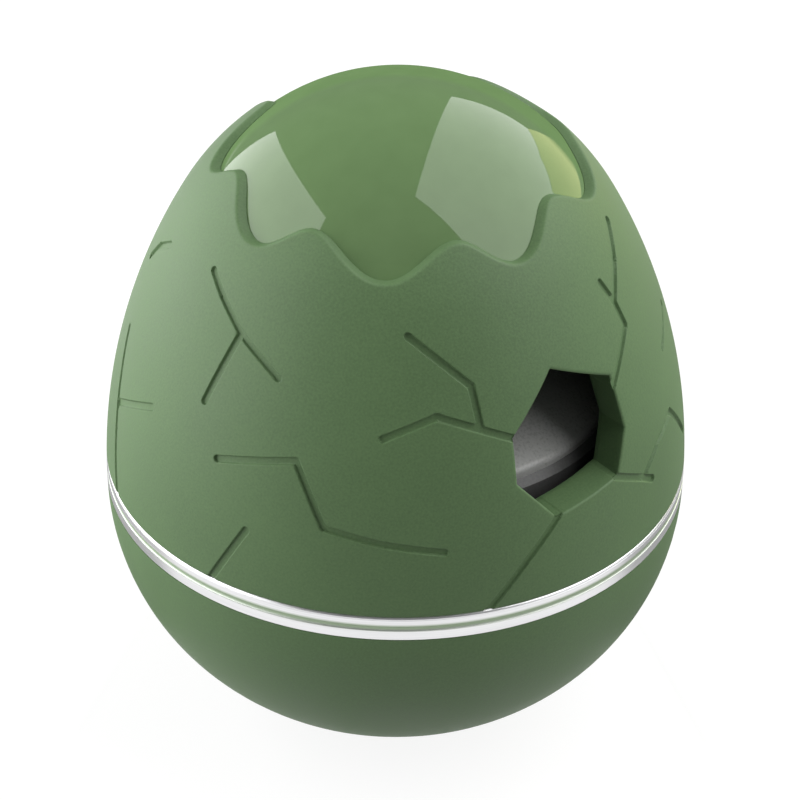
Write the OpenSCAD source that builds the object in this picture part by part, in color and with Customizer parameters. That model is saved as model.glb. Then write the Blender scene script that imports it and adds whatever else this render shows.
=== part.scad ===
// Egg-shaped pet ball: a lift-off treat shell over a sealed drive that wobbles a weighted base.
// Millimetres, +Z up, origin at the centre of the flat it stands on, treat hole towards -Y.
// Angles round the egg run from -Y towards +X, and a rise is a height above the widest place.

/* [Egg] */
// Widest diameter of the egg
egg_d = 86; // [85:0.5:90]
// Radius of the side arc above the widest place
side_arc_r = 87; // [85:0.5:90]
// Radius of the round top
top_arc_r = 36; // [35:0.5:37]
// Radius of the side arc below the widest place
low_arc_r = 37.5; // [36.5:0.5:38.5]
// Radius of the shallow underside
base_arc_r = 50; // [48:0.5:53]
// Radius of the flat that the egg stands on
foot_r = 10; // [8:0.5:12]
// Wall of the two shells
wall = 2.5; // [2.2:0.1:2.7]
// Rise of the lower shell's rim
rim_rise = 0.6; // [0.4:0.1:1.2]
// Height of the bright trim ring
ring_h = 3.8; // [3.2:0.1:4.2]
// Share of the trim ring below the groove round it
ring_split = 0.52; // [0.4:0.02:0.6]
// Half the width of the groove round the trim ring
ring_groove = 0.4; // [0.3:0.05:0.5]
// Rounding of the trim ring's upper edge
ring_round = 0.5; // [0.3:0.05:0.6]
// Rounding of the trim ring's lower edge
ring_edge = 0.25; // [0.15:0.05:0.3]

/* [Crown] */
// Wall of the upper shell round the crown, which is the depth of the wavy step
crown_wall = 1.2; // [1:0.05:1.4]
// Wall of the glossy crown cap
cap_wall = 1.6; // [1.2:0.1:2]
// Radius of the glossy crown
crown_arc_r = 32.4; // [32:0.1:32.8]
// Rise of the glossy crown's top
crown_top_rise = 61.7; // [61.5:0.1:61.9]
// Rise of the crown cap's rim
cap_rim_rise = 44.6; // [44:0.2:45.4]
// Rise at which the upper shell's wall thins for the cap
thin_rise = 41; // [40:0.2:41.2]

/* [Cracks and treat hole] */
// Width of a crack
crack_w = 1.1; // [0.9:0.1:1.4]
// Depth of a crack
crack_depth = 0.5; // [0.4:0.05:0.8]
// Radius of the treat hole, from its centre to a middling corner
hole_r = 10; // [9:0.25:10.25]
// Rise of the treat hole's centre
hole_rise = 25.2; // [24.8:0.1:25.8]
// Depth of the treat hole's walls
hole_depth = 5; // [4.4:0.1:5.4]
// Wall of the collar round the treat hole
hole_wall = 2.2; // [1.8:0.1:2.6]

/* [Drive pod] */
// Wall left at the upper shell's mouth, outside its plain bore
mouth_wall = 2.7; // [2.5:0.1:2.9]
// Height of the pod's spigot inside the upper shell
spigot_h = 5; // [4.4:0.2:5.4]
// Wall of the spigot
spigot_wall = 1.7; // [1.5:0.1:1.8]
// Depth of the spigot in the lower shell
spigot_dip = 3; // [2.4:0.2:3.6]
// Thickness of the pod's deck
deck_h = 2; // [1.6:0.1:2.2]
// Width of the deck outside the pod's wall
ledge_w = 5.2; // [5.1:0.1:5.6]
// Wall of the pod
pod_wall = 2.2; // [1.8:0.1:2.4]
// Rise of the top of the pod's wall
pod_rise = 16.5; // [16:0.1:17]
// Chamfer at the top of the pod's wall
pod_chamfer = 1; // [0.6:0.1:1.4]
// Height of the dome above the pod's wall
dome_h = 10.5; // [10:0.1:11]
// Radius of the dome's shallow top
dome_arc_r = 60; // [58:0.5:63]
// Distance of the dome's rim inside the pod's wall
dome_inset = 1; // [0.8:0.1:1.4]
// Wall of the dome
dome_wall = 2.2; // [1.8:0.1:2.4]
// Rounding of the dome's rim
dome_round = 1; // [0.6:0.1:1.2]
// Thickness of the dome's locating skirt
skirt_wall = 1.8; // [1.6:0.1:2]
// Radius of the power button
button_r = 5.5; // [5:0.1:6]
// Travel of the power button
button_travel = 0.8; // [0.5:0.05:1]
// Height of the button above the dome
button_proud = 0.9; // [0.6:0.1:1.2]

/* [Base inside] */
// Height of the ballast weight
ballast_h = 6; // [5.4:0.2:6.6]
// Radius of the hole through the ballast weight
ballast_hole_r = 6; // [5.5:0.25:7]
// Gap between the eccentric weight and the bosses round it
weight_gap = 2.8; // [2.4:0.1:4]
// Height of the eccentric weight
weight_h = 5.5; // [5:0.1:6]
// Radius of the eccentric weight's hub
weight_hub_r = 6; // [5:0.25:7]
// Thickness of the chassis plate
plate_h = 2.5; // [2.2:0.1:2.8]
// Height of the bearing hub on the chassis plate
hub_h = 5; // [4.5:0.1:5.5]
// Radius of the output shaft
shaft_r = 2; // [1.8:0.1:2.2]

/* [Gears] */
// Tooth module of the motor stage
motor_mod = 0.6; // [0.57:0.01:0.62]
// Tooth module of the output stage
output_mod = 0.7; // [0.68:0.01:0.72]
// Height of the output gear
output_gear_h = 2.5; // [2.2:0.1:2.8]
// Height of the idler's large gear
idler_gear_h = 2.2; // [1.8:0.1:2.6]
// Running play between meshed teeth
backlash = 0.2; // [0.15:0.01:0.25]
// Radius of the idler's pin
idler_pin_r = 1.5; // [1.3:0.05:1.7]

/* [Motor and cell] */
// Diameter of the motor can
motor_d = 15.5; // [15:0.1:16]
// Width of the motor can across its flats
motor_flat_w = 12; // [11.5:0.1:12.5]
// Height of the motor can
motor_h = 17; // [16.5:0.1:17.4]
// Height of the motor's end cap
motor_cap_h = 3; // [2.6:0.1:3.2]
// Radius of the motor's shaft
motor_shaft_r = 1; // [0.9:0.05:1.1]
// Diameter of the rechargeable cell
cell_d = 14; // [13.6:0.1:14.4]
// Length of the cell's can
cell_l = 49; // [47:0.5:50]
// Distance of the cell from the egg's axis
cell_x = 18; // [17.6:0.1:18.6]

/* [Circuit board] */
// Thickness of the circuit board
board_h = 1.6; // [1:0.1:1.8]
// Width of the charging socket
port_w = 9; // [8.8:0.1:9.4]
// Height of the charging socket
port_h = 3.2; // [3:0.1:3.4]
// Depth of the charging socket
port_l = 7.3; // [6.8:0.1:7.6]
// Height of the push switch under the button
switch_h = 5; // [4.3:0.1:5.4]

/* [Fits] */
// Gap between pieces that are fitted and stay
fit_gap = 0.15; // [0.1:0.01:0.2]
// Gap round a piece that slides
slide_gap = 0.25; // [0.2:0.01:0.3]
// Gap round a shaft that runs
run_gap = 0.05; // [0.03:0.01:0.08]
// Gap round a pressed pin or a screw's thread
press_gap = 0.02; // [0.01:0.005:0.03]
// Gap between turning pieces, one above the other
spin_gap = 0.7; // [0.6:0.05:0.8]
// Radius of a screw's thread
screw_r = 1.1; // [1:0.05:1.2]
// Radius of a screw's head
screw_head_r = 2.2; // [2:0.05:2.3]
// Height of a screw's head
screw_head_h = 1.4; // [1.2:0.05:1.5]

/* [Hidden] */
$fn = 180;

// The egg's arcs and rises are drawn for one width and grow with it. Where the arcs' centres lie, and
// the widest place above the flat. Cutters run past the faces they cut by at least the overrun.
drawn_d = 86;
grow = egg_d / drawn_d;
egg_r = egg_d / 2;
side_r = side_arc_r * grow;
top_r = top_arc_r * grow;
low_r = low_arc_r * grow;
under_r = base_arc_r * grow;
top_c = sqrt(pow(side_r - top_r, 2) - pow(side_r - egg_r, 2));
base_c = sqrt(pow(under_r - low_r, 2) - pow(egg_r - low_r, 2));
eq_z = sqrt(pow(under_r, 2) - pow(foot_r, 2)) - base_c;
top_dir = [side_r - egg_r, top_c] / (side_r - top_r);
base_dir = [egg_r - low_r, -base_c] / (under_r - low_r);
thin_z = eq_z + thin_rise * grow;
cap_rim_z = eq_z + cap_rim_rise * grow;
crown_r = crown_arc_r * grow;
crown_c = eq_z + crown_top_rise * grow - crown_r;
hole_z = eq_z + hole_rise * grow;
reach = 3 * egg_d;
over = 1;

// Heights of the seam, from the rim of the lower shell to the mouth of the upper shell
rim_z = eq_z + rim_rise;
mouth_z = rim_z + ring_h;
bore_r = egg_at(mouth_z) - mouth_wall;
spigot_r = bore_r - slide_gap;
spigot_in_r = spigot_r - spigot_wall;

// Stack in the base, from the floor up
floor_z = wall;
ballast_z = floor_z + ballast_h;
weight_z = ballast_z + 2 * spin_gap;
output_gear_z = weight_z + weight_h + 3 * spin_gap;
idler_gear_z = output_gear_z + output_gear_h + spin_gap;
plate_z = idler_gear_z + idler_gear_h + spin_gap;
plate_top = plate_z + plate_h;
hub_top = plate_top + hub_h;
motor_top = plate_top + motor_h;

// The pod stands on the seam, its deck above the motor and its rim above the charging socket
clear = 0.4;
seal_r = 0.6;
deck_z = max(mouth_z + spigot_h, motor_top + motor_cap_h + clear);
board_top = deck_z + board_h;
pod_z = max(eq_z + pod_rise * grow, board_top + port_h + 3 * seal_r);
pod_r = spigot_in_r - ledge_w;
pod_in_r = pod_r - pod_wall;
skirt_r = pod_in_r - fit_gap;
dome_r = pod_r - dome_inset;
dome_top = pod_z + dome_h;
dome_bend_r = dome_arc_r * grow;
dome_c = dome_top - dome_bend_r;

// Columns that carry the pod, and bosses that carry the chassis plate
column_r = screw_head_r + clear / 2;
column_pcr = spigot_in_r - column_r - clear / 2;
column_angles = [60, 120, 240, 300];
plate_r = column_pcr - column_r - clear;
boss_r = 2.6;
boss_pcr = plate_r - boss_r - 2 * clear;
boss_angles = [0, 110, 250];
weight_r = boss_pcr - boss_r - weight_gap;
post_r = 2.6;
post_pcr = 13;
post_h = 3.4;
post_angles = [30, 150, 270];
web_h = 1;
thread_l = 6;
tip_gap = 1;
land_dip = 1.5;

// Gears: tooth counts, pitch radii and places
motor_teeth = 10;
idler_teeth = 40;
idler_pinion_teeth = 12;
output_teeth = 48;
pressure_angle = 20;
motor_m = motor_mod * grow;
output_m = output_mod * grow;
output_centres = output_m * (idler_pinion_teeth + output_teeth) / 2;
motor_centres = motor_m * (motor_teeth + idler_teeth) / 2;
motor_turn = -30;
idler_pos = [0, output_centres];
motor_pos = idler_pos + motor_centres * [cos(motor_turn), sin(motor_turn)];
gear_hub_r = shaft_r + 3;
clip_h = 0.6;
clip_w = 1.3;
pin_bottom = output_gear_z - clip_h - spin_gap;
pin_proud = 1;
thrust_gap = 0.1;
bush_flange_h = 0.6;
bush_wall = 1.2;
bush_l = 3;
shaft_proud = 3;
weight_thread_l = 5;
weight_head_r = shaft_r + 1.5;

// Motor: collar, boss, screws, shaft and terminals
motor_collar_r = motor_d / 2 + 1.8;
motor_collar_h = 4;
motor_boss_r = 3;
motor_screw_r = 0.8;
motor_screw_l = 2;
motor_head_r = 1.6;
motor_head_h = 1.1;
motor_screw_off = 5.4;
motor_bore_l = 4;
shaft_tip = 0.4;
terminal_off = 4;

// Cell, its cradle and contacts
cell_r = cell_d / 2;
cell_off = cell_x * grow;
cell_nub_r = 2.5;
cell_nub_h = 1;
contact_h = 0.5;
contact_w = 7;
cradle_base = 1.2;
cradle_end = 1.8;
cell_z = plate_top + cradle_base + cell_r;
tab_z = cell_z + cell_r + fit_gap;
bay_l = cell_l + cell_nub_h + 2 * contact_h;
cradle_w = 10;
lip_w = 2.3;
cradle_end_h = 1.4 * cell_r;
cradle_side_h = 0.35 * cell_r;
lead_r = 0.6;
lead_inset = 5.8;
lead_room = pod_in_r - lip_w - lead_r - clear;
lead_y = min(bay_l / 2 - lead_inset, sqrt(pow(lead_room, 2) - pow(cell_off, 2)));
tab_l = bay_l / 2 - lead_y + 2 * lead_r;

// Circuit board, its charging socket and its switch
board_r = pod_in_r - 2 * fit_gap;
port_y = board_r - port_l;
port_mouth_gap = 0.5;
socket_skin = 0.4;
socket_tongue = [0.7 * port_w, 0.75 * port_l, 0.7];
switch_w = 6;
switch_body_h = 0.6 * switch_h;
switch_pin_r = 1.7;
chip = [10, 4, 1.6];
chip_pin = [0.4, 6, 0.5];
chip_pins = 8;
chip_pitch = 1.2;
chip_pos = [-15, -8];
lamp = [3.5, 2.8, 1.9];
lamp_x = 9;
board_screw_pcr = board_r - screw_head_r;
board_screw_angles = [0, 120, 240];
plug_flange_h = 1.4;
plug_lip = 1.2;
button_lip = 1.2;
button_flange_h = 1;
stem_r = 2;

// Rubber rings and their grooves
groove_h = 2.4 * seal_r;
shell_seal_z = deck_z - 0.6 * deck_h;
dome_seal_z = pod_z - 1.5 * seal_r;
shell_seal_r = bore_r - run_gap - seal_r;
dome_seal_r = pod_in_r - run_gap - seal_r;

// The crown's wavy edge: angle and rise of each high and each drip, in turn round the egg
CROWN_EDGE = [
    [-149, 55.9], [-121.5, 50.7], [-107, 53.1], [-81.8, 48.7], [-65.5, 51.9], [-42, 47.8],
    [-20.5, 51.6], [-3.5, 48.3], [19, 52.6], [38.5, 49.5], [66, 52], [84, 51.6],
    [112, 54.6], [138, 50.6], [165, 53.6], [188, 48.2], [211, 55.9]
];
crown_steps = 120;

// The treat hole's corners: each turn round its centre, seen from outside, and its share of the radius
HOLE_CORNERS = [
    [101, 1.06], [37.5, 1], [-10, 0.94], [-47.5, 1], [-117, 1.02], [-163.5, 1.03], [161, 1]
];

// The cracks: angle and rise of each bend. A rise below the mouth runs off the shell's edge.
CRACKS = [
    [[-90, 43.9], [-83.8, 41.9], [-75.3, 38.9], [-77.9, 33.9], [-80.2, 29]],
    [[-75.3, 38.9], [-69.1, 37.1], [-63.8, 35.3]],
    [[-113.3, 41.4], [-119.8, 39.2], [-123.1, 36.6]],
    [[-116.7, 27.5], [-112.8, 21.1], [-109.8, 14.4], [-107, 6.9], [-105.3, 2]],
    [[-111.3, 17.7], [-95.2, 23.4]],
    [[-74.4, 22.5], [-57.4, 25.6], [-51.1, 17.2], [-40.1, 15.6], [-28.7, 14.3]],
    [[-66.3, 14.1], [-75.4, 2]],
    [[-35.6, 42.1], [-22.1, 35.8], [-20.8, 30.4]],
    [[-40.6, 29.8], [-29.7, 32.5], [-11.9, 27.7]],
    [[-5.5, 16.6], [-13.3, 10.8], [-23.3, 2]],
    [[8.9, 17.7], [17.1, 14.6], [20.6, 13.1]],
    [[17.1, 14.6], [24.1, 17.5], [32.3, 19], [42.1, 11.3]],
    [[36, 46.4], [28.9, 42.8], [21.4, 38.8], [22.4, 35.5], [12.4, 29.7]],
    [[19, 42], [21.4, 38.8]],
    [[47.1, 30.3], [36.2, 27.5]],
    [[70, 40], [82, 34], [78, 26]],
    [[82, 34], [92, 30.5]],
    [[58, 20], [70, 16.5], [76, 9], [84, 2]],
    [[99, 22], [112, 26], [119, 18], [134, 16]],
    [[118, 42], [129, 36], [125, 30]],
    [[147, 35], [160, 28], [157, 20], [169, 14]],
    [[160, 28], [172, 31]],
    [[146, 11], [139, 2]],
    [[189, 41], [201, 36], [197, 28.5]],
    [[204, 23], [215, 17], [224, 19]],
    [[186, 13], [192, 2]]
];

// Radius of the egg at height z, shrunk inwards by d
function egg_at(z, d = 0) =
    let (h = z - eq_z)
    h > (side_r - d) * top_dir.y ? sqrt(pow(top_r - d, 2) - pow(h - top_c, 2))
    : h >= 0 ? egg_r - side_r + sqrt(pow(side_r - d, 2) - h * h)
    : h >= (low_r - d) * base_dir.y ? egg_r - low_r + sqrt(pow(low_r - d, 2) - h * h)
    : sqrt(pow(under_r - d, 2) - pow(h - base_c, 2));

// Point of the egg's skin at an angle and a rise, from the middle of the widest place
function skin_point(p) =
    let (h = p.y * grow, r = egg_at(eq_z + h))
    [r * sin(p.x), -r * cos(p.x), h];

// How far the skin faces upwards at a rise
function skin_tilt(rise) =
    let (h = rise * grow)
    h > side_r * top_dir.y ? asin((h - top_c) / top_r) : asin(h / side_r);

// Rise of the crown's edge at an angle, eased from each high to the next drip
function crown_rise(a) =
    let (
        i = max([for (k = [0:len(CROWN_EDGE) - 2]) if (CROWN_EDGE[k].x <= a) k]),
        p = CROWN_EDGE[i],
        q = CROWN_EDGE[i + 1]
    )
    p.y + (q.y - p.y) * (1 - cos(180 * (a - p.x) / (q.x - p.x))) / 2;

// Outline of a bent stroke of width w through points p, pointed at both ends
function unit(v) = v / norm(v);
function left_of(v) = [-v.y, v.x];
function run(p, i) = unit(p[i + 1] - p[i]);
function mitre(p, i) =
    let (
        a = left_of(run(p, max(i - 1, 0))),
        b = left_of(run(p, min(i, len(p) - 2))),
        m = unit(a + b)
    )
    m / (m * b);
function stroke(p, w) = concat(
    [p[0] - run(p, 0) * w / 2],
    [for (i = [0:len(p) - 1]) p[i] - mitre(p, i) * w / 2],
    [p[len(p) - 1] + run(p, len(p) - 2) * w / 2],
    [for (i = [len(p) - 1:-1:0]) p[i] + mitre(p, i) * w / 2]
);

// Angle that an involute has turned through where its pressure angle is a
function involute(a) = tan(a) * 180 / PI - a;

// Half the angle of a tooth at radius r, on a gear of n teeth and module m
function tooth_half(n, m, r) =
    let (pitch_r = m * n / 2, base_r = pitch_r * cos(pressure_angle))
    90 / n - backlash / 2 / pitch_r * 90 / PI + involute(pressure_angle)
    - (r > base_r ? involute(acos(base_r / r)) : 0);

// Half the egg's outline, shrunk inwards by d. The sector of each smaller arc reaches past the line
// where it meets a larger arc, because it lies inside that one there.
module egg_outline(d = 0) {
    top_end = [0, top_c] + reach * top_dir;
    base_end = [0, base_c] + reach * base_dir;
    translate([0, eq_z]) {
        intersection() {
            translate([0, top_c]) circle(top_r - d);
            polygon([[0, 0], [0, reach], [top_end.x, reach], top_end]);
        }
        intersection() {
            translate([egg_r - side_r, 0]) circle(side_r - d);
            polygon([[0, 0], [0, top_c], top_end, [reach, 0]]);
        }
        intersection() {
            translate([egg_r - low_r, 0]) circle(low_r - d);
            polygon([[0, 0], [reach, 0], [reach, -reach], base_end]);
        }
        intersection() {
            translate([0, base_c]) circle(under_r - d);
            polygon([[0, base_c], base_end, [0, -reach]]);
        }
    }
}

// The part of the egg's outline between two heights
module egg_band(z0, z1, d = 0) {
    intersection() {
        egg_outline(d);
        translate([0, z0]) square([reach, z1 - z0]);
    }
}

// Copies round the axis, each on a circle of radius r, turned from -Y
module ring_of(angles, r) {
    for (a = angles) rotate(a) translate([0, -r, 0]) children();
}

// Ring between two radii
module tube(r_out, r_in, h) {
    difference() {
        cylinder(r = r_out, h = h);
        translate([0, 0, -h]) cylinder(r = r_in, h = 3 * h);
    }
}

// Cross-head screw, with its head standing on z = 0
module screw(thread, head_r = screw_head_r, head_h = screw_head_h, r = screw_r) {
    difference() {
        union() {
            cylinder(r = head_r, h = head_h);
            translate([0, 0, -thread]) cylinder(r = r, h = thread + head_h / 2);
        }
        for (a = [0, 90]) rotate(a) translate([-head_r * 0.6, -head_h * 0.2, head_h * 0.5])
            cube([head_r * 1.2, head_h * 0.4, head_h]);
    }
}

// Gear blank with involute teeth, one tooth pointing along +X
module gear(n, m, h) {
    pitch_r = m * n / 2;
    root_r = pitch_r - 1.25 * m;
    tip_r = pitch_r + 0.9 * m;
    flank = [root_r, pitch_r * cos(pressure_angle) + 0.02, pitch_r, tip_r];
    radii = [for (r = flank) max(r, root_r)];
    linear_extrude(h) polygon([for (t = [0:n - 1]) each concat(
        [for (i = [0:3]) let (a = t * 360 / n - tooth_half(n, m, radii[i])) radii[i] * [cos(a), sin(a)]],
        [for (i = [3:-1:0]) let (a = t * 360 / n + tooth_half(n, m, radii[i])) radii[i] * [cos(a), sin(a)]]
    )]);
}

// Straight cutter along one crack, square to the skin at its middle
module crack(path) {
    a = (min([for (p = path) p.x]) + max([for (p = path) p.x])) / 2;
    tilt = skin_tilt((min([for (p = path) p.y]) + max([for (p = path) p.y])) / 2);
    across = [cos(a), sin(a), 0];
    up = [-sin(a) * sin(tilt), cos(a) * sin(tilt), cos(tilt)];
    flat_path = [for (p = path) [skin_point(p) * across, skin_point(p) * up]];
    translate([0, 0, eq_z]) rotate([90 - tilt, 0, a]) translate([0, 0, egg_r / 2])
        linear_extrude(egg_r) polygon(stroke(flat_path, crack_w));
}

// Prism of the treat hole, with its corners on a circle of radius r
module hole_prism(r) {
    translate([0, -egg_r / 2, hole_z]) rotate([90, 0, 0]) linear_extrude(egg_r)
        polygon([for (c = HOLE_CORNERS) r * grow * c.y * [cos(c.x), sin(c.x)]]);
}

// Upright cutter through the crown's wavy edge
module crown_cutter() {
    angles = [for (i = [0:crown_steps - 1]) CROWN_EDGE[0].x + 360 * i / crown_steps];
    edge = [for (a = angles) skin_point([a, crown_rise(a)])];
    translate([0, 0, thin_z]) linear_extrude(egg_r) polygon([for (p = edge) [p.x, p.y]]);
}

// Matte shell over the treat chamber: cracked outside, open at the crown and at the treat hole
module upper_shell() color("#6b8560") {
    difference() {
        union() {
            rotate_extrude() difference() {
                egg_band(mouth_z, reach);
                egg_outline(wall);
                egg_band(thin_z, reach, crown_wall);
                translate([0, crown_c]) circle(crown_r + fit_gap);
                translate([0, mouth_z - over]) square([bore_r, deck_z - mouth_z + over + slide_gap]);
            }
            intersection() {
                hole_prism(hole_r + hole_wall);
                rotate_extrude() difference() {
                    egg_band(mouth_z, reach, wall / 2);
                    egg_outline(hole_depth);
                }
            }
        }
        hole_prism(hole_r);
        difference() {
            for (path = CRACKS) crack(path);
            rotate_extrude() egg_outline(crack_depth);
        }
        crown_cutter();
    }
}

// Glossy cap that closes the crown from inside, a step below the matte shell
module crown_cap() color("#6f9160") {
    cap_d = crown_wall + fit_gap;
    rotate_extrude() difference() {
        union() {
            egg_band(cap_rim_z, reach, cap_d);
            intersection() {
                translate([0, crown_c]) circle(crown_r);
                translate([0, cap_rim_z]) square(reach);
            }
        }
        egg_outline(cap_d + cap_wall);
        translate([0, crown_c]) circle(crown_r - cap_wall);
    }
}

// Matte lower shell: floor, rim land for the pod's spigot, columns, bosses and ballast posts
module lower_shell() color("#66805a") {
    land_r = spigot_r + fit_gap;
    difference() {
        union() {
            rotate_extrude() difference() {
                egg_band(0, rim_z);
                egg_band(floor_z, reach, wall);
            }
            rotate_extrude() difference() {
                egg_band(rim_z - spigot_dip - land_dip, rim_z, wall / 2);
                square([land_r, reach]);
            }
            intersection() {
                union() {
                    ring_of(column_angles, column_pcr) cylinder(r = column_r, h = rim_z);
                    ring_of(boss_angles, boss_pcr) cylinder(r = boss_r, h = plate_z);
                }
                rotate_extrude() egg_band(floor_z, reach, wall / 2);
            }
            ring_of(column_angles, column_pcr)
                translate([0, 0, rim_z - over]) cylinder(r = column_r, h = deck_z - deck_h - rim_z + over);
            ring_of(post_angles, post_pcr)
                translate([0, 0, floor_z - wall / 4]) cylinder(r = post_r, h = post_h + wall / 4);
        }
        ring_of(column_angles, column_pcr)
            translate([0, 0, deck_z - deck_h - thread_l]) cylinder(r = screw_r + press_gap, h = reach);
        ring_of(boss_angles, boss_pcr)
            translate([0, 0, plate_z - thread_l]) cylinder(r = screw_r + press_gap, h = reach);
        ring_of(post_angles, post_pcr)
            translate([0, 0, floor_z + clear / 2]) cylinder(r = screw_r + press_gap, h = reach);
    }
}

// Bright plated ring that fills the seam between the two shells
module trim_ring() color("#dcdce0") {
    split_z = rim_z + ring_split * ring_h;
    groove_flat = 0.5;
    rotate_extrude() difference() {
        egg_band(rim_z, mouth_z);
        square([spigot_r + fit_gap, reach]);
        translate([egg_at(split_z), split_z]) scale([groove_flat, 1]) circle(ring_groove);
        translate([egg_at(mouth_z) - ring_round, mouth_z - ring_round]) difference() {
            square(over);
            circle(ring_round);
        }
        translate([egg_at(rim_z) - ring_edge, rim_z + ring_edge]) difference() {
            translate([0, -over]) square(over);
            circle(ring_edge);
        }
    }
}

// Dark housing: spigot for both shells, deck, board lip and the wall that carries the dome
module pod_housing() color("#2c2c2e") {
    spigot_z = rim_z - spigot_dip;
    difference() {
        rotate_extrude() difference() {
            polygon([
                [spigot_in_r, spigot_z], [spigot_r, spigot_z], [spigot_r, deck_z], [pod_r, deck_z],
                [pod_r, pod_z - pod_chamfer], [pod_r - pod_chamfer, pod_z], [pod_in_r, pod_z],
                [pod_in_r, deck_z], [pod_in_r - lip_w, deck_z], [pod_in_r - lip_w, deck_z - deck_h],
                [spigot_in_r, deck_z - deck_h]
            ]);
            translate([shell_seal_r - seal_r - run_gap, shell_seal_z - groove_h / 2])
                square([reach, groove_h]);
        }
        ring_of(column_angles, column_pcr) translate([0, 0, deck_z - 2 * deck_h])
            cylinder(r = screw_r + fit_gap, h = 3 * deck_h);
        ring_of(board_screw_angles, board_screw_pcr) translate([0, 0, deck_z - 2 * deck_h])
            cylinder(r = screw_r + press_gap, h = 3 * deck_h);
        translate([-port_w / 2 - slide_gap, pod_in_r - pod_wall, board_top - slide_gap])
            cube([port_w + 2 * slide_gap, 3 * pod_wall, port_h + 2 * slide_gap]);
    }
}

// Dark shallow dome that treats roll off, with a skirt that holds the board down
module dome_cover() color("#353537") {
    round_r = dome_r - dome_round;
    round_pos = [round_r, dome_c + sqrt(pow(dome_bend_r - dome_round, 2) - round_r * round_r)];
    difference() {
        rotate_extrude() difference() {
            union() {
                intersection() {
                    difference() {
                        translate([0, dome_c]) circle(dome_bend_r);
                        translate([0, dome_c]) circle(dome_bend_r - dome_wall);
                    }
                    translate([0, pod_z]) square([dome_r, reach]);
                    union() {
                        square([dome_r, round_pos.y]);
                        translate(round_pos) circle(dome_round);
                        polygon([[0, pod_z], round_pos, round_pos + (round_pos - [0, dome_c]), [0, reach]]);
                    }
                }
                intersection() {
                    translate([skirt_r - skirt_wall, board_top]) square([skirt_wall, reach]);
                    translate([0, dome_c]) circle(dome_bend_r);
                }
            }
            translate([dome_seal_r - seal_r - run_gap, dome_seal_z - groove_h / 2]) square([reach, groove_h]);
            square([button_r + slide_gap, reach]);
        }
        translate([-port_w / 2 - clear, 0, board_top - over])
            cube([port_w + 2 * clear, reach, dome_seal_z - board_top + over]);
        ring_of(board_screw_angles, board_screw_pcr) translate([0, 0, board_top - over])
            cylinder(r = screw_head_r + 2 * fit_gap, h = screw_head_h + over + clear);
    }
}

// Rubber ring round the spigot, which holds the upper shell on
module shell_seal() color("#1d1d1d") {
    translate([0, 0, shell_seal_z]) rotate_extrude() translate([shell_seal_r, 0]) circle(seal_r);
}

// Rubber ring round the dome's skirt
module dome_seal() color("#1d1d1d") {
    translate([0, 0, dome_seal_z]) rotate_extrude() translate([dome_seal_r, 0]) circle(seal_r);
}

// Screws through the deck into the lower shell's columns
module deck_screws() color("#8c8c90") {
    ring_of(column_angles, column_pcr) translate([0, 0, deck_z]) screw(deck_h + thread_l - tip_gap);
}

// Push button in the middle of the dome, with its stem over the switch
module power_button() color("#5f6062") {
    head_z = dome_top + button_proud;
    flange_r = button_r + button_lip;
    under_dome = dome_c + sqrt(pow(dome_bend_r - dome_wall, 2) - pow(flange_r, 2));
    flange_z = under_dome - button_flange_h - thrust_gap;
    stem_z = board_top + switch_h + button_travel + thrust_gap;
    translate([0, 0, flange_z]) cylinder(r = button_r, h = head_z - flange_z);
    translate([0, 0, flange_z]) cylinder(r = flange_r, h = button_flange_h);
    translate([0, 0, stem_z]) cylinder(r = stem_r, h = flange_z - stem_z + button_flange_h);
}

// Push switch on the board
module push_switch() color("#3a3a3c") {
    translate([-switch_w / 2, -switch_w / 2, board_top]) cube([switch_w, switch_w, switch_body_h]);
    translate([0, 0, board_top]) cylinder(r = switch_pin_r, h = switch_h);
}

// Round circuit board on the pod's lip
module circuit_board() color("#1f5a3a") {
    difference() {
        translate([0, 0, deck_z]) cylinder(r = board_r, h = board_h);
        ring_of(board_screw_angles, board_screw_pcr) translate([0, 0, deck_z - over])
            cylinder(r = screw_r + fit_gap, h = board_h + 2 * over);
    }
}

// Control chip on the board
module control_chip() color("#222224") {
    translate([chip_pos.x, chip_pos.y, board_top]) {
        translate([-chip.x / 2, -chip.y / 2, thrust_gap]) cube(chip);
        for (i = [0:chip_pins - 1])
            translate([(i - (chip_pins - 1) / 2) * chip_pitch - chip_pin.x / 2, -chip_pin.y / 2, 0])
                cube(chip_pin);
    }
}

// Charging socket at the back of the board, with its tongue
module charging_socket() color("#b9bbc0") {
    inside = [port_w - 2 * socket_skin, port_l, port_h - 2 * socket_skin];
    translate([0, port_y, board_top]) {
        difference() {
            translate([-port_w / 2, 0, 0]) cube([port_w, port_l, port_h]);
            translate([-inside.x / 2, socket_skin, socket_skin]) cube(inside);
        }
        translate([-socket_tongue.x / 2, socket_skin / 2, (port_h - socket_tongue.z) / 2])
            cube(socket_tongue);
    }
}

// Lamps that show charging, beside the socket
module status_lamps() color("#e8e6d2") {
    for (s = [-1, 1]) translate([s * lamp_x - lamp.x / 2, port_y - lamp.y, board_top]) cube(lamp);
}

// Screws that hold the board on the pod's lip
module board_screws() color("#8c8c90") {
    ring_of(board_screw_angles, board_screw_pcr) translate([0, 0, board_top]) screw(board_h + deck_h - clear);
}

// Silicone plug in the wall in front of the charging socket
module port_plug() color("#3c3c3e") {
    tongue = [port_w, pod_r - board_r + slide_gap - port_mouth_gap, port_h];
    flange = [port_w + 2 * plug_lip, plug_flange_h, port_h + 2 * plug_lip];
    translate([-tongue.x / 2, board_r + port_mouth_gap, board_top]) cube(tongue);
    translate([-flange.x / 2, pod_r + slide_gap, board_top - plug_lip]) cube(flange);
}

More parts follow.
